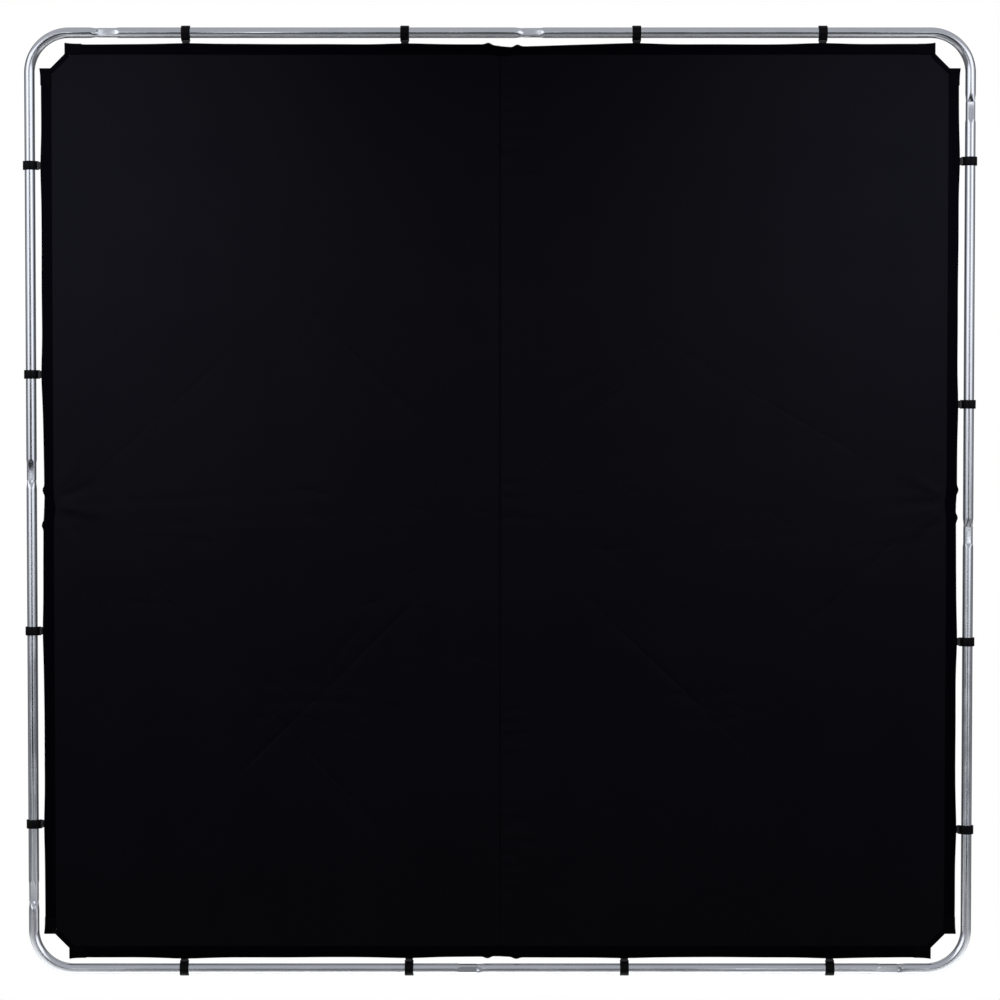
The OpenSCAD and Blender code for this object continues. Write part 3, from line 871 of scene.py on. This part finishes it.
def gather(turn, side, low, high):
    """The section of one side's gather, at each length s between and just past its two tucks."""
    def section(s):
        outer, inner, thick, back = hem_section(side, s)
        loose = 0.5 * MM * math.sin(s / (2.7 * MM) + turn) + 0.3 * MM * math.sin(s / (1.6 * MM))
        middle_most = math.exp(-((s - (low + high) / 2) / (20 * MM)) ** 2)
        slack = 4.0 * MM * middle_most * (1 + 0.2 * math.sin(s * 900))
        back = loose * math.exp(-(s / (34 * MM)) ** 4)
        return outer + 0.2 * MM, inner - slack, thick + 0.25 * MM, back
    return section


bm = bmesh.new()
for turn, side in enumerate(SIDES):
    low, high = (t * MM for t in TUCKS[side])
    ribbon(bm, steps(low - 12 * MM, high + 12 * MM, 72), gather(turn, side, low, high), side_axes(turn))
gathers = finish_mesh(bm, "gathered_hem_breaks", smooth=60)
gathers.data.materials.append(hem_cloth)
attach(gathers, ROOT)
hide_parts("hem_gathers")


# End patches: a short sleeve of woven tape is folded over both ends of every hem and sewn down, so
# that the battens can't wear through. It flares a little where it is open.


def end_patch(turn, side, end):
    """The section of the patch at one end of a hem, which flares toward its open end."""
    def section(s):
        outer, inner, thick, back = hem_section(side, s)
        t = (abs(s) - (HEM_STOP - PATCH_LEN)) / PATCH_LEN
        return (HEM_OUT + (0.8 + 2.0 * t ** 3) * MM, inner - (0.4 + 0.8 * t ** 3) * MM,
                thick + (0.45 + 0.5 * t ** 3) * MM, 0.4 * MM * math.sin(5 * t + turn + end))
    return section


bm = bmesh.new()
for turn, side in enumerate(SIDES):
    for end in (-1, 1):
        stations = steps(end * (HEM_STOP - PATCH_LEN), end * (HEM_STOP + 0.6 * MM), 10)
        ribbon(bm, stations, end_patch(turn, side, end), side_axes(turn))
patches = finish_mesh(bm, "folded_end_patches", smooth=60)
patches.data.materials.append(tape)
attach(patches, ROOT)
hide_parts("hem_end_patches")


# Corner bindings: the cover's four corners are cut off and bound with folded tape, which runs from
# the end of one hem to the end of the next.

BINDING_W, BINDING_T = 11 * MM, 2 * MM
BINDING_OUT = HALF + 1 * MM             # its outer edge, just past the cut


def binding(s):
    """The section of a binding, a little uneven in its thickness."""
    return BINDING_OUT, BINDING_OUT - BINDING_W, BINDING_T / 2 + 0.15 * MM * math.sin(260 * s), 0.0


middle_out = (EDGE + HEM_STOP) / 2
long = (EDGE - HEM_STOP) * math.sqrt(2) / 2 + 5 * MM
for turn, corner in enumerate(CORNERS):
    bm = bmesh.new()
    tilt = side_axes(turn) @ Matrix.Translation((middle_out, 0, middle_out - HALF))
    tilt = tilt @ Matrix.Rotation(math.pi / 4, 4, "Y")
    ribbon(bm, steps(-long, long, 16), binding, tilt)
    for s in np.arange(-long + 3 * MM, long - 3 * MM, 4.2 * MM):
        spot = Matrix.Translation((s, -BINDING_T / 2 + 0.1 * MM, -BINDING_W + 3 * MM))
        stitch(bm, tilt @ spot, 3.2 * MM, 0.3 * MM)
    bound_edge = finish_mesh(bm, corner + "_bound_edge", smooth=60)
    bound_edge.data.materials.append(tape)
    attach(bound_edge, ROOT)
    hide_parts(corner + "_binding")


# Battens: eight flat strips of pultruded glass fibre with rounded edges, one loose in each sleeve.
# They keep the hem's two halves straight, and stop short of its break and its ends.

BATTEN_W, BATTEN_T = 12 * MM, 1.6 * MM
BATTENS = ((-HEM_STOP + 6 * MM, -40 * MM), (44 * MM, HEM_STOP - 6 * MM))
HEM_MIDDLE = EDGE + 10.5 * MM

# Pultruded glass fibre: pale green-white resin with long glassy streaks, 5 mm apart.
glass_fibre, tree, out = new_material("pultruded_glass_fibre")
where = add(tree, "ShaderNodeTexCoord")
streaks = add(tree, "ShaderNodeTexNoise", {"Vector": where.outputs["Object"], "Scale": 200.0, "Detail": 2.0})
resin = add(tree, "ShaderNodeValToRGB", {"Fac": streaks.outputs[0]})
resin.color_ramp.elements[0].color = linear("#C3CBB9")
resin.color_ramp.elements[1].color = linear("#E0E3D6")
shader = add(tree, "ShaderNodeBsdfPrincipled", {"Base Color": resin.outputs[0], "Roughness": 0.35})
tree.links.new(shader.outputs[0], out.inputs[0])

for turn, side in enumerate(SIDES):
    bm = bmesh.new()
    for start, end in BATTENS:
        place = side_axes(turn) @ Matrix.Translation(((start + end) / 2, 0, HEM_MIDDLE - HALF))
        stretch = Matrix.Diagonal((end - start, BATTEN_T, BATTEN_W, 1))
        bmesh.ops.create_cube(bm, size=1, matrix=place @ stretch)
    bmesh.ops.bevel(bm, geom=bm.edges[:], offset=0.5 * MM, affect="EDGES", segments=2, profile=0.5,
                    material=-1)
    strip = finish_mesh(bm, side + "_glass_battens")
    strip.data.materials.append(glass_fibre)
    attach(strip, ROOT)
    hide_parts(side + "_battens")


# The two halves of the cover are sheets, each cut from flat cloth with two corners off, and they
# stay stretched between the hems and the bound corners. The code below only brings the scene up to date.

bpy.context.view_layer.update()

bpy.context.view_layer.update()
